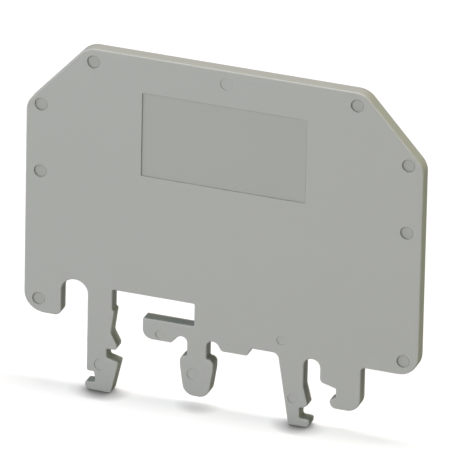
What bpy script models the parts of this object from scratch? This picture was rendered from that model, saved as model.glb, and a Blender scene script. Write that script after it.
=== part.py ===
"""Partition plate for rail-mounted terminal blocks: one flat plastic moulding with snap feet.

The plate stands upright. X runs across the rail, Y through the plate's thickness and Z up.
The origin is at the middle of the plate's length and thickness, level with the soles of the feet.
Every size is in metres. The side with the label panel faces -Y.
"""

import math

import bmesh
import bpy
from mathutils import Matrix, Vector

# Overall plate
PLATE_HEIGHT = 0.0549
PLATE_THICKNESS = 0.0021
EDGE_ROUNDING = 0.0002
CHAMFER_WIDTH = 0.00925
CHAMFER_HEIGHT = 0.0102
PLATE_CORNER_RADIUS = 0.0031
LEG_LENGTH = 0.0112
TAB_WIDTH = 0.0058
RIGHT_OVERHANG = 0.0087

# Rail that the feet snap onto, and the room that the notches leave round its flanges
RAIL_WIDTH = 0.0350
RAIL_THICKNESS = 0.0010
RAIL_SIDE_PLAY = 0.0005
RAIL_GRIP_PLAY = 0.00045
RAIL_SEAT_HEIGHT = 0.0071

# Low notches, cut on the outer side of the left foot and on the slot side of the right foot
HOOK_HEIGHT = 0.0013
LOW_NOTCH_HEIGHT = 0.00175
HOOK_CORNER_RADIUS = 0.00035
HOOK_HEEL_RADIUS = 0.00095
NOTCH_FILLET = 0.0002
HOOK_ROOT_FILLET = 0.0004

# Left tab and the flex slot beside it
FLEX_SLOT_WIDTH = 0.0041
FLEX_SLOT_HEIGHT = 0.0062
TAB_INNER_RADIUS = 0.0010

# Left foot, measured from the root of its rail notch
LEFT_FOOT_WIDTH = 0.0031
LEFT_HOOK_REACH = 0.00025
LOW_ROOT_DEPTH = 0.00115
LOW_ROOT_SLANT = 0.00025
LEFT_FOOT_STEP = 0.00075
LEFT_BARB_REACH = 0.0019
LEFT_BARB_DROP = 0.00045
LEFT_BARB_RADIUS = 0.00027
LEFT_SOLE_RADIUS = 0.0005
HUMP_REACH = 0.00155
HUMP_FACE = 0.0009
HUMP_LOWER_RADIUS = 0.0005
HUMP_UPPER_RADIUS = 0.0004
WAIST_REACH = 0.0006
WAIST_RISE = 0.00265
WAIST_RADIUS = 0.0012
LEDGE_REACH = 0.00108
LEDGE_RISE = 0.0001
LEDGE_SLANT = 0.0003
LEDGE_RADIUS = 0.00027

# Window above the lever
WINDOW_HEIGHT = 0.0036
WINDOW_CORNER_RADIUS = 0.0002

# Lever and the arch between it and the peg
LEVER_CLEARANCE = 0.00475
LEVER_DEPTH = 0.0033
LEVER_TIP_RADIUS = 0.0003
LEVER_NOSE_RADIUS = 0.0015
LEVER_HEEL_RADIUS = 0.00035
ARCH_HEEL_DISTANCE = 0.0040
ARCH_SLANT = 0.0012
ARCH_LEFT_RADIUS = 0.0010
ARCH_RIGHT_RADIUS = 0.0010

# Peg
PEG_OFFSET = -0.0038
PEG_WINDOW_OFFSET = 0.0005
PEG_NECK_WIDTH = 0.00305
PEG_WIDTH = 0.0052
PEG_TIP_WIDTH = 0.0038
PEG_SHOULDER_HEIGHT = 0.00825
PEG_SHOULDER_DROP = 0.0002
PEG_SHOULDER_RADIUS = 0.0008
PEG_BELLY_HEIGHT = 0.0066
PEG_BELLY_RADIUS = 0.0030
PEG_TIP_HEIGHT = 0.0019
PEG_TIP_RADIUS = 0.0018
PEG_NECK_FILLET = 0.00025

# Stop boss under the body
BOSS_DROP = 0.0013
BOSS_DISTANCE = 0.0038
BOSS_WIDTH = 0.00395
BOSS_CORNER_RADIUS = 0.00045
BOSS_LEFT_SLANT = 0.0008
BOSS_RIGHT_SLANT = 0.0007
BOSS_ARCH_RADIUS = 0.0012

# Right foot, measured from its side of the relief slot
RIGHT_FOOT_TOP_WIDTH = 0.00405
RIGHT_FOOT_SOLE_WIDTH = 0.00223
RIGHT_FOOT_ROOT_RADIUS = 0.0010
RIGHT_SOLE_RADIUS = 0.00035
RIGHT_HOOK_REACH = 0.0011
RIGHT_HOOK_RADIUS = 0.00075
RIGHT_NOTCH_DEPTH = 0.0005
RIGHT_BARB_REACH = 0.00075
RIGHT_BARB_RISE = 0.00055
RIGHT_BARB_TAPER = 0.0029
RIGHT_BARB_LOWER_RADIUS = 0.0005
RIGHT_BARB_TIP_RADIUS = 0.0003
RIGHT_BARB_BLEND_RADIUS = 0.0015
RELIEF_SLOT_WIDTH = 0.0025

# Hook leg, measured from the root of its rail notch
SEAT_NOSE_LENGTH = 0.0025
SEAT_NOSE_RISE = 0.00065
SEAT_NOSE_RADIUS = 0.0008
HOOK_LEG_WIDTH = 0.0038
HOOK_LEG_HEEL_RADIUS = 0.0021
HOOK_LEG_ROOT_RADIUS = 0.0006
CLAW_REACH = 0.0010
CLAW_DROP = 0.0006
CLAW_THICKNESS = 0.0012
CLAW_TIP_RADIUS = 0.00035
CLAW_TOE_REACH = 0.00065
CLAW_TOE_RADIUS = 0.0009
CLAW_ROOT_FILLET = 0.0003

# Sunk label panel and the shallow round marks left by the mould's ejector pins
PANEL_WIDTH = 0.0253
PANEL_HEIGHT = 0.01325
PANEL_TOP_MARGIN = 0.0057
PANEL_DEPTH = 0.0002
PIN_RADIUS = 0.0010
SMALL_PIN_RADIUS = 0.00075
PIN_DEPTH = 0.0002
PIN_SIDE_INSET = 0.0023
PIN_TOP_INSET = 0.0021
PIN_CHAMFER_INSET = 0.0103
PIN_MIDDLE_DROP = 0.0107
PIN_BOTTOM_INSET = 0.0022
FOOT_PIN_HEIGHT = 0.00435
LEFT_FOOT_PIN_INSET = 0.0009
RIGHT_FOOT_PIN_INSET = 0.0016
BODY_PIN_INSET = 0.0035
PEG_PIN_HEIGHT = 0.0054
PEG_PIN_OFFSET = 0.00045
LEVER_PIN_INSET = 0.0028
LEVER_PIN_RISE = 0.0010
PIN_FACETS = 24

# Facets
ARC_STEP_DEGREES = 13.0
EDGE_SEGMENTS = 2
EDGE_ANGLE_DEGREES = 60.0
WELD_DISTANCE = 0.000001

# Material
PLASTIC_COLOUR = (0.38, 0.39, 0.36, 1.0)
PLASTIC_ROUGHNESS = 0.55

# Reach of the plate to each side of the rail's middle, and so its length
RAIL_SPAN = RAIL_WIDTH + RAIL_SIDE_PLAY
LEFT_REACH = RAIL_SPAN / 2 + LEFT_FOOT_WIDTH + FLEX_SLOT_WIDTH + TAB_WIDTH
RIGHT_REACH = RAIL_SPAN / 2 + HOOK_LEG_WIDTH + RIGHT_OVERHANG
PLATE_LENGTH = LEFT_REACH + RIGHT_REACH
RAIL_OFFSET = (LEFT_REACH - RIGHT_REACH) / 2

# Places that several features share
LEFT_ROOT = RAIL_OFFSET - RAIL_SPAN / 2
RIGHT_ROOT = RAIL_OFFSET + RAIL_SPAN / 2
GRIP_HEIGHT = RAIL_SEAT_HEIGHT - RAIL_THICKNESS - RAIL_GRIP_PLAY
CLAW_HEIGHT = GRIP_HEIGHT - CLAW_DROP
HOOK_LEG_BOTTOM = CLAW_HEIGHT - CLAW_THICKNESS
LOW_NOTCH_TOP = HOOK_HEIGHT + LOW_NOTCH_HEIGHT
LEFT_FOOT_OUTER = LEFT_ROOT - LEFT_FOOT_WIDTH
WINDOW_LEFT = LEFT_ROOT + LEFT_FOOT_STEP
BOSS_BOTTOM = LEG_LENGTH - BOSS_DROP
LEVER_TOP = BOSS_BOTTOM + LEVER_DEPTH
PEG_CENTRE = RAIL_OFFSET + PEG_OFFSET
RELIEF_RIGHT = RIGHT_ROOT - SEAT_NOSE_LENGTH
RELIEF_LEFT = RELIEF_RIGHT - RELIEF_SLOT_WIDTH
FRONT = -PLATE_THICKNESS / 2


def tab_and_flex_slot():
    """Left tab's underside and the round-topped slot that lets the left foot bend."""
    tab_inner = LEFT_FOOT_OUTER - FLEX_SLOT_WIDTH
    slot_top = LEG_LENGTH + FLEX_SLOT_HEIGHT
    return [
        (-PLATE_LENGTH / 2, LEG_LENGTH, PLATE_CORNER_RADIUS),
        (tab_inner, LEG_LENGTH, TAB_INNER_RADIUS),
        (tab_inner, slot_top, FLEX_SLOT_WIDTH / 2),
        (LEFT_FOOT_OUTER, slot_top, FLEX_SLOT_WIDTH / 2),
    ]


def left_foot():
    """Long foot with a low notch and hook on its outer side and a rail notch on its inner side."""
    hook_tip = LEFT_FOOT_OUTER - LEFT_HOOK_REACH
    low_root = LEFT_FOOT_OUTER + LOW_ROOT_DEPTH
    hump = LEFT_ROOT + HUMP_REACH
    ledge = LEVER_TOP + LEDGE_RISE
    return [
        (LEFT_FOOT_OUTER, LOW_NOTCH_TOP, HOOK_CORNER_RADIUS),
        (low_root, LOW_NOTCH_TOP, NOTCH_FILLET),
        (low_root + LOW_ROOT_SLANT, HOOK_HEIGHT, HOOK_ROOT_FILLET),
        (hook_tip, HOOK_HEIGHT, HOOK_CORNER_RADIUS),
        (hook_tip, 0, HOOK_HEEL_RADIUS),
        (LEFT_ROOT + LEFT_FOOT_STEP, 0, LEFT_SOLE_RADIUS),
        (LEFT_ROOT + LEFT_BARB_REACH, GRIP_HEIGHT - LEFT_BARB_DROP, LEFT_BARB_RADIUS),
        (LEFT_ROOT, GRIP_HEIGHT, HOOK_ROOT_FILLET),
        (LEFT_ROOT, RAIL_SEAT_HEIGHT, NOTCH_FILLET),
        (hump, RAIL_SEAT_HEIGHT, HUMP_LOWER_RADIUS),
        (hump, RAIL_SEAT_HEIGHT + HUMP_FACE, HUMP_UPPER_RADIUS),
        (LEFT_ROOT + WAIST_REACH, RAIL_SEAT_HEIGHT + WAIST_RISE, WAIST_RADIUS),
        (LEFT_ROOT + LEDGE_REACH, ledge, LEDGE_RADIUS),
        (WINDOW_LEFT, ledge + LEDGE_SLANT, NOTCH_FILLET),
    ]


def window_and_lever():
    """Window over the lever, and the lever that reaches left from the peg's root."""
    window_top = LEVER_TOP + WINDOW_HEIGHT
    window_right = PEG_CENTRE - PEG_WINDOW_OFFSET
    lever_tip = WINDOW_LEFT + LEVER_CLEARANCE
    heel = PEG_CENTRE - ARCH_HEEL_DISTANCE
    return [
        (WINDOW_LEFT, window_top, WINDOW_CORNER_RADIUS),
        (window_right, window_top, WINDOW_CORNER_RADIUS),
        (window_right, LEVER_TOP, WINDOW_CORNER_RADIUS),
        (lever_tip, LEVER_TOP, LEVER_TIP_RADIUS),
        (lever_tip, BOSS_BOTTOM, LEVER_NOSE_RADIUS),
        (heel, BOSS_BOTTOM, LEVER_HEEL_RADIUS),
        (heel + ARCH_SLANT, LEG_LENGTH, ARCH_LEFT_RADIUS),
    ]


def peg():
    """Rounded peg on a narrow neck, the same on both sides of its own centre line."""
    neck = PEG_NECK_WIDTH / 2
    shoulder = PEG_SHOULDER_HEIGHT - PEG_SHOULDER_DROP
    right_side = [
        (PEG_TIP_WIDTH / 2, PEG_TIP_HEIGHT, PEG_TIP_RADIUS),
        (PEG_WIDTH / 2, PEG_BELLY_HEIGHT, PEG_BELLY_RADIUS),
        (PEG_WIDTH / 2, shoulder, PEG_SHOULDER_RADIUS),
        (neck, PEG_SHOULDER_HEIGHT, PEG_NECK_FILLET),
        (neck, LEG_LENGTH, ARCH_RIGHT_RADIUS),
    ]
    left_side = [(-x, z, radius) for x, z, radius in reversed(right_side)]
    return [(PEG_CENTRE + x, z, radius) for x, z, radius in left_side + right_side]


def stop_boss():
    """Shallow boss that keeps the body clear of the rail."""
    left = PEG_CENTRE + BOSS_DISTANCE
    right = left + BOSS_WIDTH
    return [
        (left - BOSS_LEFT_SLANT, LEG_LENGTH, BOSS_ARCH_RADIUS),
        (left, BOSS_BOTTOM, BOSS_CORNER_RADIUS),
        (right, BOSS_BOTTOM, BOSS_CORNER_RADIUS),
        (right + BOSS_RIGHT_SLANT, LEG_LENGTH, BOSS_CORNER_RADIUS),
    ]


def right_foot():
    """Tapered foot with a low notch and hook, facing the relief slot beside it."""
    root = RELIEF_LEFT - RIGHT_NOTCH_DEPTH
    hook_tip = RELIEF_LEFT + RIGHT_HOOK_REACH
    barb_height = LOW_NOTCH_TOP + RIGHT_BARB_RISE
    return [
        (RELIEF_LEFT - RIGHT_FOOT_TOP_WIDTH, LEG_LENGTH, RIGHT_FOOT_ROOT_RADIUS),
        (RELIEF_LEFT - RIGHT_FOOT_SOLE_WIDTH, 0, RIGHT_SOLE_RADIUS),
        (hook_tip, 0, RIGHT_HOOK_RADIUS),
        (hook_tip, HOOK_HEIGHT, HOOK_CORNER_RADIUS),
        (root, HOOK_HEIGHT, HOOK_ROOT_FILLET),
        (root, LOW_NOTCH_TOP, NOTCH_FILLET),
        (RELIEF_LEFT, LOW_NOTCH_TOP, RIGHT_BARB_LOWER_RADIUS),
        (RELIEF_LEFT + RIGHT_BARB_REACH, barb_height, RIGHT_BARB_TIP_RADIUS),
        (RELIEF_LEFT, barb_height + RIGHT_BARB_TAPER, RIGHT_BARB_BLEND_RADIUS),
    ]


def relief_slot_and_hook_leg():
    """Round-topped slot, then the short leg whose claw grips the rail's other edge."""
    leg_right = RIGHT_ROOT + HOOK_LEG_WIDTH
    return [
        (RELIEF_LEFT, LEG_LENGTH, RELIEF_SLOT_WIDTH / 2),
        (RELIEF_RIGHT, LEG_LENGTH, RELIEF_SLOT_WIDTH / 2),
        (RELIEF_RIGHT, RAIL_SEAT_HEIGHT + SEAT_NOSE_RISE, SEAT_NOSE_RADIUS),
        (RIGHT_ROOT, RAIL_SEAT_HEIGHT, CLAW_ROOT_FILLET),
        (RIGHT_ROOT, GRIP_HEIGHT, CLAW_ROOT_FILLET),
        (RIGHT_ROOT - CLAW_REACH, CLAW_HEIGHT, CLAW_TIP_RADIUS),
        (RIGHT_ROOT - CLAW_TOE_REACH, HOOK_LEG_BOTTOM, CLAW_TOE_RADIUS),
        (leg_right, HOOK_LEG_BOTTOM, HOOK_LEG_HEEL_RADIUS),
        (leg_right, LEG_LENGTH, HOOK_LEG_ROOT_RADIUS),
    ]


def upper_body():
    """Right side, chamfered top and left side of the plate."""
    side = PLATE_LENGTH / 2
    shoulder = PLATE_HEIGHT - CHAMFER_HEIGHT
    return [
        (side, LEG_LENGTH, PLATE_CORNER_RADIUS),
        (side, shoulder, PLATE_CORNER_RADIUS),
        (side - CHAMFER_WIDTH, PLATE_HEIGHT, PLATE_CORNER_RADIUS),
        (CHAMFER_WIDTH - side, PLATE_HEIGHT, PLATE_CORNER_RADIUS),
        (-side, shoulder, PLATE_CORNER_RADIUS),
    ]


def turn_between(before, after):
    """Angle from one edge's direction to the next, anticlockwise positive."""
    return math.atan2(before.x * after.y - before.y * after.x, before.dot(after))


def arc_reaches(points, turns, radii):
    """How far each corner's arc reaches along its two edges, and no further than they allow."""
    reaches = [radius * math.tan(abs(turn) / 2) for radius, turn in zip(radii, turns)]
    shares = [1.0] * len(points)
    for i in range(len(points)):
        edge = (points[i] - points[i - 1]).length
        share = edge / (reaches[i] + reaches[i - 1])
        shares[i] = min(shares[i], share)
        shares[i - 1] = min(shares[i - 1], share)
    return [reach * share for reach, share in zip(reaches, shares)]


def rounded_outline(corners):
    """Closed outline through the corners, with each corner turned into an arc."""
    points = [Vector((x, z)) for x, z, _ in corners]
    edges = [points[(i + 1) % len(points)] - point for i, point in enumerate(points)]
    turns = [turn_between(edges[i - 1], edge) for i, edge in enumerate(edges)]
    reaches = arc_reaches(points, turns, [radius for _, _, radius in corners])
    outline = []
    for i, (point, turn, reach) in enumerate(zip(points, turns, reaches)):
        arriving = edges[i - 1].normalized()
        start = point - arriving * reach
        radius = reach / math.tan(turn / 2)
        centre = start + Vector((-arriving.y, arriving.x)) * radius
        steps = max(1, round(abs(math.degrees(turn)) / ARC_STEP_DEGREES))
        for step in range(steps + 1):
            place = centre + Matrix.Rotation(turn * step / steps, 2) @ (start - centre)
            if not outline or (place - outline[-1]).length > WELD_DISTANCE:
                outline.append(place)
    return outline


def new_collection(name):
    collection = bpy.data.collections.new(name)
    bpy.context.scene.collection.children.link(collection)
    return collection


def grey_plastic():
    """Matt light grey moulding plastic."""
    material = bpy.data.materials.new("grey_plastic")
    material.use_nodes = True
    surface = material.node_tree.nodes["Principled BSDF"]
    surface.inputs["Base Color"].default_value = PLASTIC_COLOUR
    surface.inputs["Roughness"].default_value = PLASTIC_ROUGHNESS
    surface.inputs["Metallic"].default_value = 0.0
    material.diffuse_color = PLASTIC_COLOUR
    return material


def outline_curve(outline):
    """The outline as a filled flat curve with the plate's thickness, stood upright."""
    curve = bpy.data.curves.new("plate_outline", "CURVE")
    curve.dimensions = "2D"
    curve.fill_mode = "BOTH"
    curve.extrude = PLATE_THICKNESS / 2
    spline = curve.splines.new("POLY")
    spline.points.add(len(outline) - 1)
    for point, place in zip(spline.points, outline):
        point.co = (place.x, place.y, 0, 1)
    spline.use_cyclic_u = True
    flat = bpy.data.objects.new("plate_outline", curve)
    flat.rotation_euler.x = math.radians(90)
    return flat


def plate_blank(parts):
    """Closed mesh of the whole plate, before its edges are rounded and its panel sunk."""
    corners = (
        tab_and_flex_slot()
        + left_foot()
        + window_and_lever()
        + peg()
        + stop_boss()
        + right_foot()
        + relief_slot_and_hook_leg()
        + upper_body()
    )
    flat = outline_curve(rounded_outline(corners))
    parts.objects.link(flat)
    graph = bpy.context.evaluated_depsgraph_get()
    mesh = bpy.data.meshes.new_from_object(flat.evaluated_get(graph))
    mesh.name = "partition_plate"

    shape = bmesh.new()
    shape.from_mesh(mesh)
    bmesh.ops.remove_doubles(shape, verts=shape.verts, dist=WELD_DISTANCE)
    for level in (-PLATE_THICKNESS / 2, PLATE_THICKNESS / 2):
        beyond = [vert for vert in shape.verts if abs(vert.co.z - level) > WELD_DISTANCE]
        cap = [face for face in shape.faces if not set(face.verts) & set(beyond)]
        bmesh.ops.dissolve_faces(shape, faces=cap)
    shape.to_mesh(mesh)
    shape.free()
    mesh.shade_smooth()
    mesh.set_sharp_from_angle(angle=math.radians(EDGE_ANGLE_DEGREES))

    plate = bpy.data.objects.new("partition_plate", mesh)
    plate.matrix_world = flat.matrix_world
    parts.objects.link(plate)
    bpy.data.objects.remove(flat)
    return plate


def make_cutter(name, cutters):
    """Turns the newest object into a hidden cutter."""
    shape = bpy.context.object
    shape.name = name
    shape.hide_render = True
    shape.display_type = "WIRE"
    for holder in list(shape.users_collection):
        holder.objects.unlink(shape)
    cutters.objects.link(shape)


def sink_panel(cutters):
    """Box half sunk in the front face, for the label panel."""
    middle = PLATE_HEIGHT - PANEL_TOP_MARGIN - PANEL_HEIGHT / 2
    size = (PANEL_WIDTH, 2 * PANEL_DEPTH, PANEL_HEIGHT)
    bpy.ops.mesh.primitive_cube_add(size=1, location=(0, FRONT, middle), scale=size)
    make_cutter("panel_cutter", cutters)


def pin_marks():
    """Place and radius of each ejector pin's mark."""
    side = PLATE_LENGTH / 2 - PIN_SIDE_INSET
    shoulder = PLATE_HEIGHT - CHAMFER_HEIGHT
    top = PLATE_HEIGHT - PIN_TOP_INSET
    bottom = LEG_LENGTH + PIN_BOTTOM_INSET
    marks = [(RAIL_OFFSET, top, PIN_RADIUS)]
    for sign in (-1, 1):
        marks.append((sign * (PLATE_LENGTH / 2 - PIN_CHAMFER_INSET), top, PIN_RADIUS))
        for height in (shoulder, shoulder - PIN_MIDDLE_DROP, bottom):
            marks.append((sign * side, height, PIN_RADIUS))
    marks.append((LEFT_ROOT - LEFT_FOOT_PIN_INSET, FOOT_PIN_HEIGHT, PIN_RADIUS))
    marks.append((RELIEF_LEFT - RIGHT_FOOT_PIN_INSET, FOOT_PIN_HEIGHT, SMALL_PIN_RADIUS))
    marks.append((RELIEF_LEFT - BODY_PIN_INSET, bottom, SMALL_PIN_RADIUS))
    marks.append((PEG_CENTRE - PEG_PIN_OFFSET, PEG_PIN_HEIGHT, PIN_RADIUS))
    lever_pin = WINDOW_LEFT + LEVER_CLEARANCE + LEVER_PIN_INSET
    marks.append((lever_pin, BOSS_BOTTOM + LEVER_PIN_RISE, SMALL_PIN_RADIUS))
    return marks


def sink_pin_marks(cutters):
    """Short cylinders half sunk in the front face."""
    for number, (x, z, radius) in enumerate(pin_marks(), start=1):
        bpy.ops.mesh.primitive_cylinder_add(
            vertices=PIN_FACETS,
            radius=radius,
            depth=2 * PIN_DEPTH,
            location=(x, FRONT, z),
            rotation=(math.radians(90), 0, 0),
        )
        make_cutter(f"pin_cutter_{number}", cutters)


def main():
    for obj in list(bpy.data.objects):
        bpy.data.objects.remove(obj)
    parts = new_collection("terminal_block_partition_plate")
    cutters = new_collection("cutters")

    plate = plate_blank(parts)
    plate.data.materials.append(grey_plastic())
    rounding = plate.modifiers.new("edge_rounding", "BEVEL")
    rounding.width = EDGE_ROUNDING
    rounding.segments = EDGE_SEGMENTS
    rounding.limit_method = "ANGLE"
    rounding.angle_limit = math.radians(EDGE_ANGLE_DEGREES)
    rounding.use_clamp_overlap = False

    sink_panel(cutters)
    sink_pin_marks(cutters)
    sinking = plate.modifiers.new("sunk_marks", "BOOLEAN")
    sinking.operation = "DIFFERENCE"
    sinking.operand_type = "COLLECTION"
    sinking.collection = cutters
    sinking.solver = "EXACT"


main()
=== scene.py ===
import math

import bmesh
import bpy
from mathutils import Matrix, Vector


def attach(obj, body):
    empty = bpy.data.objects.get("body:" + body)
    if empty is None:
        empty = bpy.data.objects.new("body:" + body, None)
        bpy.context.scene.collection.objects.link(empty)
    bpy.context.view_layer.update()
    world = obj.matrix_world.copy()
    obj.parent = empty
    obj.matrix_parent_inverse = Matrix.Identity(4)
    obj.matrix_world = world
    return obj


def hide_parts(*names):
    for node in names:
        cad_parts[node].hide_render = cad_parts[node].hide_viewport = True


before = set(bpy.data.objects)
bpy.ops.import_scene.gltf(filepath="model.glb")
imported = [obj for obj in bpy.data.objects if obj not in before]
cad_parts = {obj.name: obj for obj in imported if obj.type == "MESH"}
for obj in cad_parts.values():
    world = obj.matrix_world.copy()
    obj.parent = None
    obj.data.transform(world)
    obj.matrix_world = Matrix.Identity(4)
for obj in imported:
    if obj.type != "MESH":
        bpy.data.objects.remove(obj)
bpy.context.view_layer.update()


# The body is the big flat wall that stands between two terminal blocks on the rail.
# The whole part is one injection moulding in matt grey polyamide, 2.1 mm thick.
# Each outline corner is (x, z, radius), in metres, anticlockwise seen from the front.
plate_length = 0.0610
plate_height = 0.0549
plate_thickness = 0.0021
front = -plate_thickness / 2
chamfer_width = 0.00925
chamfer_height = 0.0102
plate_corner = 0.0031
leg_length = 0.0112

side = plate_length / 2
shoulder = plate_height - chamfer_height
body_corners = [
    (side, leg_length, plate_corner),
    (side, shoulder, plate_corner),
    (side - chamfer_width, plate_height, plate_corner),
    (chamfer_width - side, plate_height, plate_corner),
    (-side, shoulder, plate_corner),
    (-side, leg_length, plate_corner),
]


# The left foot is the springy one: a long leg that a round-topped slot sets free to bend.
# Its inner notch holds the rail's left flange, and the low notch outside takes a screwdriver.
# The sizes of the rail and of the room round its flanges are here, as every notch uses them.
rail_width = 0.0350
rail_thickness = 0.0010
rail_side_play = 0.0005
rail_grip_play = 0.00045
rail_offset = 0.00025
rail_seat = 0.0071
hook_height = 0.0013
low_notch_height = 0.00175
hook_corner = 0.00035
notch_fillet = 0.0002
hook_root_fillet = 0.0004
flex_slot_width = 0.0041
flex_slot_height = 0.0062
tab_inner_radius = 0.0010
left_foot_width = 0.0031
left_foot_step = 0.00075
low_notch_depth = 0.00115
low_notch_slant = 0.00025
left_hook_overhang = 0.00025
heel_radius = 0.00095
sole_corner = 0.0005
left_barb_reach = 0.0019
left_barb_drop = 0.00045
barb_tip_radius = 0.00027
hump_reach = 0.00155
hump_height = 0.0009
hump_corner = 0.0005
hump_top_corner = 0.0004
leg_waist = (0.0006, 0.00265)
leg_waist_radius = 0.0012
leg_ledge = 0.00108
ledge_rise = 0.0001
ledge_root_rise = 0.0004
boss_drop = 0.0013
lever_thickness = 0.0033

rail_span = rail_width + rail_side_play
left_root = rail_offset - rail_span / 2
right_root = rail_offset + rail_span / 2
grip_height = rail_seat - rail_thickness - rail_grip_play
low_notch_top = hook_height + low_notch_height
foot_outer = left_root - left_foot_width
window_left = left_root + left_foot_step
boss_bottom = leg_length - boss_drop
lever_top = boss_bottom + lever_thickness

slot_left = foot_outer - flex_slot_width
slot_top = leg_length + flex_slot_height
low_root = foot_outer + low_notch_depth
left_hook_tip = foot_outer - left_hook_overhang
hump = left_root + hump_reach
left_foot_corners = [
    (slot_left, leg_length, tab_inner_radius),
    (slot_left, slot_top, flex_slot_width / 2),
    (foot_outer, slot_top, flex_slot_width / 2),
    (foot_outer, low_notch_top, hook_corner),
    (low_root, low_notch_top, notch_fillet),
    (low_root + low_notch_slant, hook_height, hook_root_fillet),
    (left_hook_tip, hook_height, hook_corner),
    (left_hook_tip, 0, heel_radius),
    (left_root + left_foot_step, 0, sole_corner),
    (left_root + left_barb_reach, grip_height - left_barb_drop, barb_tip_radius),
    (left_root, grip_height, hook_root_fillet),
    (left_root, rail_seat, notch_fillet),
    (hump, rail_seat, hump_corner),
    (hump, rail_seat + hump_height, hump_top_corner),
    (left_root + leg_waist[0], rail_seat + leg_waist[1], leg_waist_radius),
    (left_root + leg_ledge, lever_top + ledge_rise, barb_tip_radius),
    (window_left, lever_top + ledge_root_rise, notch_fillet),
]


# The lever reaches left from the root of the peg, under the window, as a stop for the foot.
# The peg hangs in the rail's channel on a narrow neck, and the stop boss beside it rests
# over the rail. All three are part of the same moulding.
window_height = 0.0036
window_corner = 0.0002
window_short_of_peg = 0.0005
lever_clearance = 0.00475
lever_tip_corner = 0.0003
lever_heel_radius = 0.0015
lever_heel_corner = 0.00035
lever_reach = 0.0040
lever_root = 0.0012
root_fillet = 0.0010
peg_centre = rail_offset - 0.0038
peg_neck = 0.00305 / 2
peg_half_width = 0.0052 / 2
peg_tip_half_width = 0.0038 / 2
peg_shoulder = 0.00825
peg_bottom = 0.0019
peg_taper_end = 0.0066
peg_tip_radius = 0.0018
peg_taper_radius = 0.0030
peg_shoulder_slope = 0.0002
peg_shoulder_radius = 0.0008
peg_neck_fillet = 0.00025
boss_distance = 0.0038
boss_width = 0.00395
boss_corner = 0.00045
boss_left_slant = 0.0008
boss_left_radius = 0.0012
boss_right_slant = 0.0007

window_top = lever_top + window_height
window_right = peg_centre - window_short_of_peg
lever_tip = window_left + lever_clearance
lever_heel = peg_centre - lever_reach
lever_corners = [
    (window_left, window_top, window_corner),
    (window_right, window_top, window_corner),
    (window_right, lever_top, window_corner),
    (lever_tip, lever_top, lever_tip_corner),
    (lever_tip, boss_bottom, lever_heel_radius),
    (lever_heel, boss_bottom, lever_heel_corner),
    (lever_heel + lever_root, leg_length, root_fillet),
]

peg_side = [
    (peg_tip_half_width, peg_bottom, peg_tip_radius),
    (peg_half_width, peg_taper_end, peg_taper_radius),
    (peg_half_width, peg_shoulder - peg_shoulder_slope, peg_shoulder_radius),
    (peg_neck, peg_shoulder, peg_neck_fillet),
    (peg_neck, leg_length, root_fillet),
]
peg_corners = [(peg_centre - x, z, radius) for x, z, radius in reversed(peg_side)]
peg_corners += [(peg_centre + x, z, radius) for x, z, radius in peg_side]

boss_left = peg_centre + boss_distance
boss_right = boss_left + boss_width
boss_corners = [
    (boss_left - boss_left_slant, leg_length, boss_left_radius),
    (boss_left, boss_bottom, boss_corner),
    (boss_right, boss_bottom, boss_corner),
    (boss_right + boss_right_slant, leg_length, boss_corner),
]


# The right foot tapers down to a second low notch and hook. The narrow slot beside it parts
# it from the hook leg, whose claw grips the rail's right flange and does not bend.
seat_nose_length = 0.0025
relief_slot_width = 0.0025
right_foot_root = 0.00405
right_foot_sole = 0.00223
right_sole_corner = 0.00035
right_toe_radius = 0.00075
right_hook_reach = 0.0011
right_notch_depth = 0.0005
right_notch_lip = 0.0005
right_barb_reach = 0.00075
right_barb_rise = 0.00055
right_barb_taper = 0.0029
right_barb_corner = 0.0003
right_barb_shoulder = 0.0015
hook_leg_width = 0.0038
hook_leg_bottom = 0.00385
hook_leg_toe_radius = 0.0021
hook_leg_root_fillet = 0.0006
seat_slope = 0.00065
seat_nose_radius = 0.0008
claw_corner = 0.0003
claw_reach = 0.0010
claw_drop = 0.0006
claw_tip_radius = 0.00035
claw_undercut = 0.00065
claw_heel_radius = 0.0009

relief_right = right_root - seat_nose_length
relief_left = relief_right - relief_slot_width
right_hook_tip = relief_left + right_hook_reach
right_notch_root = relief_left - right_notch_depth
right_barb = low_notch_top + right_barb_rise
right_foot_corners = [
    (relief_left - right_foot_root, leg_length, root_fillet),
    (relief_left - right_foot_sole, 0, right_sole_corner),
    (right_hook_tip, 0, right_toe_radius),
    (right_hook_tip, hook_height, hook_corner),
    (right_notch_root, hook_height, hook_root_fillet),
    (right_notch_root, low_notch_top, notch_fillet),
    (relief_left, low_notch_top, right_notch_lip),
    (relief_left + right_barb_reach, right_barb, right_barb_corner),
    (relief_left, right_barb + right_barb_taper, right_barb_shoulder),
]

hook_leg_right = right_root + hook_leg_width
hook_leg_corners = [
    (relief_left, leg_length, relief_slot_width / 2),
    (relief_right, leg_length, relief_slot_width / 2),
    (relief_right, rail_seat + seat_slope, seat_nose_radius),
    (right_root, rail_seat, claw_corner),
    (right_root, grip_height, claw_corner),
    (right_root - claw_reach, grip_height - claw_drop, claw_tip_radius),
    (right_root - claw_undercut, hook_leg_bottom, claw_heel_radius),
    (hook_leg_right, hook_leg_bottom, hook_leg_toe_radius),
    (hook_leg_right, leg_length, hook_leg_root_fillet),
]


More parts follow.
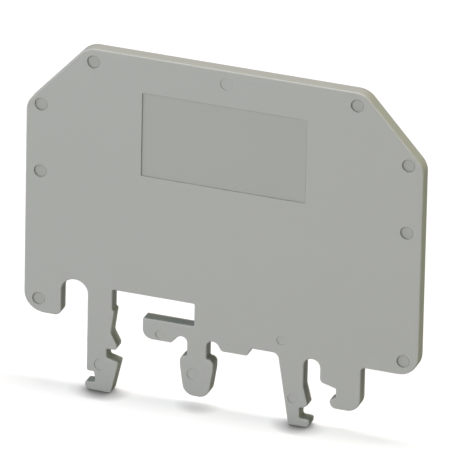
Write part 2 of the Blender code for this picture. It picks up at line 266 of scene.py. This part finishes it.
# The moulding's blank: the mould cavity is one flat outline with every corner rounded to its
# own radius, cut straight through the steel. The tree fillets the outline, fills it and
# draws it out to the plate's thickness, then stands it upright.
class Value:
    """A node's output that can be used in Python sums, each of which adds a Math node."""

    def __init__(self, tree, socket):
        self.tree = tree
        self.socket = socket

    def __getitem__(self, name):
        return Value(self.tree, find_socket(self.socket.node.outputs, name))

    def _sum(self, operation, first, second):
        return self.tree.add("ShaderNodeMath", {"operation": operation}, {0: first, 1: second})

    def __add__(self, other):
        return self._sum("ADD", self, other)

    def __radd__(self, other):
        return self._sum("ADD", other, self)

    def __sub__(self, other):
        return self._sum("SUBTRACT", self, other)

    def __rsub__(self, other):
        return self._sum("SUBTRACT", other, self)

    def __mul__(self, other):
        return self._sum("MULTIPLY", self, other)

    def __rmul__(self, other):
        return self._sum("MULTIPLY", other, self)

    def __pow__(self, other):
        return self._sum("POWER", self, other)


def find_socket(sockets, name):
    """The socket at that place, or with that identifier."""
    if isinstance(name, int):
        return sockets[name]
    return next(socket for socket in sockets if socket.identifier == name)


class Tree:
    """Adds nodes to a node tree and links what feeds them."""

    def __init__(self, nodes):
        self.nodes = nodes

    def add(self, kind, settings=None, sockets=None):
        """A new node with its settings, and its sockets' values or links. Gives its output."""
        node = self.nodes.nodes.new(kind)
        for name, value in (settings or {}).items():
            setattr(node, name, value)
        for name, given in (sockets or {}).items():
            socket = find_socket(node.inputs, name)
            for value in given if isinstance(given, list) else [given]:
                if isinstance(value, Value):
                    self.nodes.links.new(value.socket, socket)
                else:
                    socket.default_value = value
        outputs = [socket for socket in node.outputs if socket.enabled]
        return Value(self, outputs[0]) if outputs else None


def new_geometry_tree(name, inputs):
    """A Geometry Nodes tree with these named inputs. Gives it and the inputs' sockets."""
    group = bpy.data.node_groups.new(name, "GeometryNodeTree")
    for label, kind in {"Geometry": "NodeSocketGeometry", **inputs}.items():
        group.interface.new_socket(label, in_out="INPUT", socket_type=kind)
    group.interface.new_socket("Geometry", in_out="OUTPUT", socket_type="NodeSocketGeometry")
    tree = Tree(group)
    tree.add("NodeGroupInput")
    outputs = group.nodes[0].outputs
    return tree, {label: Value(tree, outputs[label]) for label in ["Geometry", *inputs]}


def run_geometry_tree(obj, tree, values):
    """A live modifier that runs the tree on obj, with its named inputs set."""
    modifier = obj.modifiers.new(tree.nodes.name, "NODES")
    modifier.node_group = tree.nodes
    for socket in tree.nodes.interface.items_tree:
        if socket.in_out == "INPUT" and socket.name in values:
            modifier[socket.identifier] = values[socket.name]


def plain_mesh(obj):
    """Turns obj's modifiers into its own plain mesh, with no empty slot, and removes them."""
    graph = bpy.context.evaluated_depsgraph_get()
    obj.data = bpy.data.meshes.new_from_object(obj.evaluated_get(graph), depsgraph=graph)
    obj.modifiers.clear()
    slots = list(obj.data.materials)
    if None in slots:
        obj.data.materials.pop(index=slots.index(None))


def new_piece(name, mesh):
    obj = bpy.data.objects.new(name, mesh)
    bpy.context.scene.collection.objects.link(obj)
    return obj


arc_step = math.radians(5)
weld = 0.000001
corners = (
    left_foot_corners
    + lever_corners
    + peg_corners
    + boss_corners
    + right_foot_corners
    + hook_leg_corners
    + body_corners
)
places = [Vector((x, z)) for x, z, _ in corners]
runs = [places[(i + 1) % len(places)] - place for i, place in enumerate(places)]
turns = [runs[i - 1].angle(run) for i, run in enumerate(runs)]

outline = bpy.data.meshes.new("plate_outline")
outline.from_pydata(
    [(place.x, place.y, 0) for place in places],
    [(i, (i + 1) % len(places)) for i in range(len(places))],
    [],
)
radius_layer = outline.attributes.new("corner_radius", "FLOAT", "POINT")
radius_layer.data.foreach_set("value", [radius for _, _, radius in corners])
steps_layer = outline.attributes.new("corner_steps", "INT", "POINT")
steps_layer.data.foreach_set("value", [max(1, round(turn / arc_step)) for turn in turns])
plate = new_piece("moulded_plate", outline)

tree, given = new_geometry_tree(
    "blank_from_outline", {"Thickness": "NodeSocketFloat", "Plastic": "NodeSocketMaterial"}
)
path = tree.add("GeometryNodeMeshToCurve", sockets={"Mesh": given["Geometry"]})
radii = tree.add(
    "GeometryNodeInputNamedAttribute", {"data_type": "FLOAT"}, {"Name": "corner_radius"}
)
steps = tree.add("GeometryNodeInputNamedAttribute", {"data_type": "INT"}, {"Name": "corner_steps"})
path = tree.add(
    "GeometryNodeFilletCurve",
    {"mode": "POLY"},
    {"Curve": path, "Count": steps, "Radius": radii, "Limit Radius": True},
)
rim = tree.add("GeometryNodeCurveToMesh", sockets={"Curve": path})
rim = tree.add("GeometryNodeMergeByDistance", sockets={"Geometry": rim, "Distance": weld})
path = tree.add("GeometryNodeMeshToCurve", sockets={"Mesh": rim})
cap = tree.add("GeometryNodeFillCurve", {"mode": "NGONS"}, {"Curve": path})
direction = tree.add("ShaderNodeCombineXYZ", sockets={"Z": given["Thickness"]})
walls = tree.add(
    "GeometryNodeExtrudeMesh",
    {"mode": "FACES"},
    {"Mesh": cap, "Offset": direction, "Individual": False},
)
other_cap = tree.add("GeometryNodeFlipFaces", sockets={"Mesh": cap})
blank = tree.add("GeometryNodeJoinGeometry", sockets={"Geometry": [walls, other_cap]})
blank = tree.add("GeometryNodeMergeByDistance", sockets={"Geometry": blank, "Distance": weld})
middle = tree.add("ShaderNodeCombineXYZ", sockets={"Y": given["Thickness"] * 0.5})
blank = tree.add(
    "GeometryNodeTransform",
    sockets={"Geometry": blank, "Translation": middle, "Rotation": (math.radians(90), 0, 0)},
)
blank = tree.add("GeometryNodeSetShadeSmooth", sockets={"Geometry": blank, "Shade Smooth": True})
blank = tree.add("GeometryNodeRealizeInstances", sockets={"Geometry": blank})
blank = tree.add(
    "GeometryNodeSetMaterial", sockets={"Geometry": blank, "Material": given["Plastic"]}
)
tree.add("NodeGroupOutput", sockets={0: blank})


# The label panel is a shallow field sunk in the front face. A raised block in the mould
# makes it, and leaves a rounded lip and a fine groove all round.
panel_length = 0.0253
panel_height = 0.01325
panel_top_margin = 0.0057
panel_corner = 0.00025
panel_depth = 0.0002
panel_groove = (0.00008, 0.00003)
panel_fillet = 0.00003
panel_lip = 0.00006


def sinking_shape(half_length, half_height, corner, depth, floor_fillet, lip, groove):
    """Closed mesh that cuts a rounded rectangle into the face y = 0, with a rounded lip.

    A groove (width, depth) runs round inside the wall, below the rest of the floor.
    """
    quarter = math.pi / 2
    groove_width, groove_depth = groove
    rings = [(-groove_width - groove_depth, depth), (-groove_width, depth + groove_depth)]
    depth += groove_depth
    round_steps = 4
    for step in range(round_steps + 1):
        angle = quarter * step / round_steps
        inward = floor_fillet * (math.sin(angle) - 1)
        rings.append((inward, depth - floor_fillet * (1 - math.cos(angle))))
    lip_end = math.radians(72)
    for step in range(round_steps + 1):
        angle = lip_end * step / round_steps
        rings.append((lip * (1 - math.cos(angle)), lip * (1 - math.sin(angle))))
    clear = lip * 0.6
    rings.append((rings[-1][0] + clear * math.tan(lip_end), rings[-1][1] - clear))

    shape = bmesh.new()
    loops = []
    arc = 16
    for offset, y in rings:
        loop = []
        for turn in range(4):
            sign_x, sign_z = ((1, 1), (-1, 1), (-1, -1), (1, -1))[turn]
            for step in range(arc + 1):
                angle = quarter * (turn + step / arc)
                reach = corner + offset
                x = sign_x * (half_length - corner) + reach * math.cos(angle)
                z = sign_z * (half_height - corner) + reach * math.sin(angle)
                loop.append(shape.verts.new((x, y, z)))
        loops.append(loop)
    for low, high in zip(loops, loops[1:]):
        for i in range(len(low)):
            j = (i + 1) % len(low)
            shape.faces.new((low[i], low[j], high[j], high[i]))
    shape.faces.new(loops[0])
    shape.faces.new(loops[-1])
    bmesh.ops.remove_doubles(shape, verts=shape.verts, dist=weld)
    bmesh.ops.recalc_face_normals(shape, faces=shape.faces)
    mesh = bpy.data.meshes.new("sinking_shape")
    shape.to_mesh(mesh)
    shape.free()
    return mesh


panel_middle = plate_height - panel_top_margin - panel_height / 2
panel_shape = sinking_shape(
    panel_length / 2,
    panel_height / 2,
    panel_corner,
    panel_depth,
    panel_fillet,
    panel_lip,
    panel_groove,
)
panel_shape.transform(Matrix.Translation((0, front, panel_middle)))
panel_cutter = new_piece("label_panel_cutter", panel_shape)


# Round marks are left where the mould's ejector pins pushed the part out: shallow flat
# discs with a worn groove round each, near the rim and, fainter, on the feet, peg and lever.
# One disc is shaped and set at every pin's place, at that pin's size and depth.
pin_radius = 0.0010
small_pin_radius = 0.00075
small_pin = small_pin_radius / pin_radius
pin_depth = 0.00022
pin_groove = (0.00012, 0.00005)
pin_fillet = 0.00004
pin_lip = 0.00005
faint = 0.45
pin_side = side - 0.0023
pin_top = plate_height - 0.0021
pin_chamfer = side - 0.0103
pin_middle = shoulder - 0.0107
pin_bottom = leg_length + 0.0022
foot_pin = 0.00435
lever_pin = lever_tip + 0.0028
pins = [(rail_offset, pin_top, 1.0, faint)]
for sign in (-1, 1):
    pins.append((sign * pin_chamfer, pin_top, 1.0, 1.0))
    pins += [(sign * pin_side, z, 1.0, 1.0) for z in (shoulder, pin_middle, pin_bottom)]
pins += [
    (left_root - 0.0009, foot_pin, 1.0, faint),
    (relief_left - 0.0016, foot_pin, small_pin, faint),
    (relief_left - 0.0035, pin_bottom, small_pin, faint),
    (peg_centre - 0.00045, 0.0054, 1.0, faint),
    (lever_pin, boss_bottom + 0.0010, small_pin, faint),
]

pin_shape = new_piece(
    "pin_shape",
    sinking_shape(
        pin_radius, pin_radius, pin_radius, pin_depth, pin_fillet, pin_lip, pin_groove
    ),
)
pin_places = bpy.data.meshes.new("pin_places")
pin_places.from_pydata([(x, front, z) for x, z, _, _ in pins], [], [])
size_layer = pin_places.attributes.new("pin_size", "FLOAT_VECTOR", "POINT")
pin_sizes = [part for _, _, size, sink in pins for part in (size, sink, size)]
size_layer.data.foreach_set("vector", pin_sizes)
pin_cutter = new_piece("pin_cutter", pin_places)

pin_tree, given = new_geometry_tree(
    "pin_marks", {"Pin": "NodeSocketObject", "Plastic": "NodeSocketMaterial"}
)
pin = pin_tree.add("GeometryNodeObjectInfo", sockets={"Object": given["Pin"]})["Geometry"]
size = pin_tree.add(
    "GeometryNodeInputNamedAttribute", {"data_type": "FLOAT_VECTOR"}, {"Name": "pin_size"}
)
marks = pin_tree.add(
    "GeometryNodeInstanceOnPoints",
    sockets={"Points": given["Geometry"], "Instance": pin, "Scale": size},
)
marks = pin_tree.add("GeometryNodeRealizeInstances", sockets={"Geometry": marks})
marks = pin_tree.add(
    "GeometryNodeSetMaterial", sockets={"Geometry": marks, "Material": given["Plastic"]}
)
pin_tree.add("NodeGroupOutput", sockets={0: marks})


# The plastic is light grey polyamide, straight from a spark-eroded mould: an even matt face
# with a fine grain, a slightly cloudy grey, and edges rubbed a touch paler and smoother.
# The floors of the panel and the pin marks are painted a little darker and greener than the face,
# the more the deeper they lie: painted shade in the recesses.
darker_grey = (0.322, 0.334, 0.31, 1)
lighter_grey = (0.42, 0.432, 0.408, 1)
rubbed_grey = (0.46, 0.465, 0.435, 1)
# The next three lines set the painted shade in the recesses: its colour, the depths over which it
# comes in, and how much of it is mixed in.
recess_shade_grey = (0.235, 0.255, 0.205, 1)
recess_shade_from, recess_shade_to = 0.00013, 0.0003
recess_shade_share = 0.5
rubbed_share = 0.15
cloudiness = 0.10
speckle = 0.05
roughness = 0.52


def grey_plastic():
    material = bpy.data.materials.new("grey_polyamide")
    material.use_nodes = True
    material.node_tree.nodes.clear()
    tree = Tree(material.node_tree)
    place = tree.add("ShaderNodeTexCoord")
    where = place["Object"]

    def noise(scale, detail, harshness=0.5):
        settings = {"noise_dimensions": "3D"}
        sockets = {"Vector": where, "Scale": scale, "Detail": detail, "Roughness": harshness}
        return tree.add("ShaderNodeTexNoise", settings, sockets)

    def mix_colours(factor, first, second):
        settings = {"data_type": "RGBA", "clamp_factor": True}
        sockets = {"Factor_Float": factor, "A_Color": first, "B_Color": second}
        return tree.add("ShaderNodeMix", settings, sockets)

    cloud = noise(scale=90.0, detail=3.0)
    speck = noise(scale=2600.0, detail=2.0, harshness=0.7)
    grain = noise(scale=5200.0, detail=2.0, harshness=0.6)
    swell = noise(scale=260.0, detail=1.0)

    # edge is 1 half-way round a rounded rim, and 0 on the flat faces and on the walls.
    facing = tree.add("ShaderNodeSeparateXYZ", sockets={"Vector": place["Normal"]})["Y"]
    across = facing * facing
    edge = 4 * across * (1 - across)
    # Painted shade in the recesses: how deep a front-facing surface lies behind the face sets how
    # far it is mixed towards the dark green-grey.
    depth = tree.add("ShaderNodeSeparateXYZ", sockets={"Vector": where})["Y"] - front
    recess_shade = tree.add(
        "ShaderNodeMapRange",
        {"interpolation_type": "SMOOTHSTEP"},
        {"Value": depth, "From Min": recess_shade_from, "From Max": recess_shade_to},
    )
    frontward = tree.add("ShaderNodeMath", {"operation": "LESS_THAN"}, {0: facing, 1: -0.1})

    shade = (cloud - 0.5) * cloudiness + (speck - 0.5) * speckle + 0.5
    colour = mix_colours(shade, darker_grey, lighter_grey)
    colour = mix_colours(edge * rubbed_share, colour, rubbed_grey)
    # Here the painted shade is mixed in, darker the deeper the recess.
    colour = mix_colours(recess_shade * frontward * recess_shade_share, colour, recess_shade_grey)
    rough = roughness + (cloud - 0.5) * 0.12 + (grain - 0.5) * 0.10 - edge * 0.08
    height = grain * 0.6 + speck * 0.4
    swollen = tree.add(
        "ShaderNodeBump", sockets={"Strength": 0.35, "Distance": 0.00006, "Height": swell}
    )
    grained = tree.add(
        "ShaderNodeBump",
        sockets={"Strength": 0.30, "Distance": 0.000012, "Height": height, "Normal": swollen},
    )
    surface = tree.add(
        "ShaderNodeBsdfPrincipled",
        sockets={"Base Color": colour, "Roughness": rough, "Normal": grained, "IOR": 1.5},
    )
    tree.add("ShaderNodeOutputMaterial", sockets={"Surface": surface})
    return material


# The finished moulding: the blank's rims are rounded as the mould's split line leaves them,
# the panel and the pins' marks are sunk in its front, and it takes the place of the plain
# plate. It is one piece, and nothing on it moves.
edge_rounding = 0.0002
plastic = grey_plastic()
panel_cutter.data.materials.append(plastic)
run_geometry_tree(pin_cutter, pin_tree, {"Pin": pin_shape, "Plastic": plastic})
plain_mesh(pin_cutter)
run_geometry_tree(plate, tree, {"Thickness": plate_thickness, "Plastic": plastic})
rounding = plate.modifiers.new("edge_rounding", "BEVEL")
rounding.width = edge_rounding
rounding.segments = 4
rounding.limit_method = "ANGLE"
rounding.angle_limit = math.radians(60)
rounding.use_clamp_overlap = False
for cutter in (panel_cutter, pin_cutter):
    sinking = plate.modifiers.new("sunk_marks", "BOOLEAN")
    sinking.operation = "DIFFERENCE"
    sinking.solver = "EXACT"
    sinking.object = cutter
evening = plate.modifiers.new("even_normals", "WEIGHTED_NORMAL")
evening.keep_sharp = True
evening.weight = 100
plain_mesh(plate)
for helper in (panel_cutter, pin_cutter, pin_shape):
    bpy.data.objects.remove(helper)

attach(plate, "root")
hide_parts("partition_plate")


# The floor is one plain white sheet, big enough to fill every view from above. It is lit
# through from behind as well as from above, so shadows on it stay faint. Close in front of
# the feet a painted shade darkens it towards black, and it throws less light on the plate than the
# camera sees on it.
floor_half = 1.5
painted_shade_reach = 0.0031
painted_shade_power = 1.75
back_light = 0.69
floor_mesh = bpy.data.meshes.new("floor")
floor_mesh.from_pydata(
    [(x * floor_half, y * floor_half, 0) for x, y in ((-1, -1), (1, -1), (1, 1), (-1, 1))],
    [],
    [(0, 1, 2, 3)],
)
floor = new_piece("floor", floor_mesh)
paper = bpy.data.materials.new("white_paper")
paper.use_nodes = True
paper.node_tree.nodes.clear()
tree = Tree(paper.node_tree)
# Painted shade: within a few millimetres of the plate the sheet is mixed towards black, the less
# open it is the more, leaning forward so that the shade falls in front of the feet. It also
# darkens the light the sheet throws on the plate.
leaning = tree.add("ShaderNodeCombineXYZ", sockets={"X": 0.0, "Y": 0.87, "Z": 0.5})
openness = tree.add(
    "ShaderNodeAmbientOcclusion", {"samples": 16}, {"Distance": painted_shade_reach, "Normal": leaning}
)["AO"]
lit = tree.add("ShaderNodeBsdfDiffuse", sockets={"Color": (0.352, 0.346, 0.355, 1)})
glow = tree.add("ShaderNodeEmission", sockets={"Color": (1, 1, 1, 1), "Strength": back_light})
bright = tree.add("ShaderNodeAddShader", sockets={0: lit, 1: glow})
dim = tree.add("ShaderNodeBsdfDiffuse", sockets={"Color": (0.35, 0.35, 0.35, 1)})
painted_shadow_black = tree.add("ShaderNodeBsdfDiffuse", sockets={"Color": (0, 0, 0, 1)})
seen = tree.add("ShaderNodeLightPath")
sheet = tree.add("ShaderNodeMixShader", sockets={"Fac": seen, "Shader": dim, "Shader_001": bright})
# The mix between the black of the painted shade and the sheet.
painted_shade_mix = openness**painted_shade_power
sheet_with_painted_shade = tree.add(
    "ShaderNodeMixShader", sockets={"Fac": painted_shade_mix, "Shader": painted_shadow_black, "Shader_001": sheet}
)
tree.add("ShaderNodeOutputMaterial", sockets={"Surface": sheet_with_painted_shade})
floor_mesh.materials.append(paper)


# The lights are four softboxes: a broad one in front, one to the left, a dim, yellower one
# above the right side, and a narrow strip overhead along the plate, whose shadow is the
# faint straight band on the floor.
light_distance = 0.9
room_light = 0.02
scene = bpy.context.scene
scene.view_settings.view_transform = "Standard"
world = bpy.data.worlds.new("white_room")
scene.world = world
world.use_nodes = True
world.node_tree.nodes.clear()
tree = Tree(world.node_tree)
room = tree.add("ShaderNodeBackground", sockets={"Color": (1, 1, 1, 1), "Strength": room_light})
tree.add("ShaderNodeOutputWorld", sockets={"Surface": room})


def softbox(name, direction, size, power, colour, aside=0.0):
    lamp = bpy.data.lights.new(name, "AREA")
    lamp.shape = "RECTANGLE"
    lamp.size, lamp.size_y = size
    lamp.energy = power
    lamp.color = colour
    obj = new_piece(name, lamp)
    way = Vector(direction).normalized()
    obj.location = Vector((aside, 0, plate_height / 2)) + way * light_distance
    obj.rotation_euler = way.to_track_quat("Z", "Y").to_euler()


softbox("front_softbox", (-0.2, -1, 0.25), (0.9, 0.6), 7.75, (1.0, 0.97, 1.0))
softbox("left_softbox", (-0.8, -0.3, 0.5), (0.5, 0.5), 2.8, (0.8, 0.97, 1.0))
softbox("right_softbox", (0.8, 0.1, 0.6), (0.5, 0.5), 2.3, (0.88, 1.0, 0.42))
softbox("strip_softbox", (0, 0.07, 1), (0.7, 0.12), 6.5, (1.13, 1.0, 1.02), aside=0.1)


# The camera is a very long lens, as in the catalogue picture, turned to the right of the
# plate's front and a little above it.
view_azimuth = math.radians(19.2)
view_height = math.radians(25.4)
view_roll = math.radians(1.2)
view_distance = 1.6275
aim = Vector((0.00044, front, 0.03039))
lens = bpy.data.cameras.new("camera")
lens.lens = 898
lens.sensor_width = 36
lens.clip_start = 0.1
camera = new_piece("camera", lens)
back = Vector(
    (
        math.sin(view_azimuth) * math.cos(view_height),
        -math.cos(view_azimuth) * math.cos(view_height),
        math.sin(view_height),
    )
)
camera.location = aim + back * view_distance
turned = back.to_track_quat("Z", "Y").to_matrix() @ Matrix.Rotation(view_roll, 3, "Z")
camera.rotation_euler = turned.to_euler()
scene.camera = camera
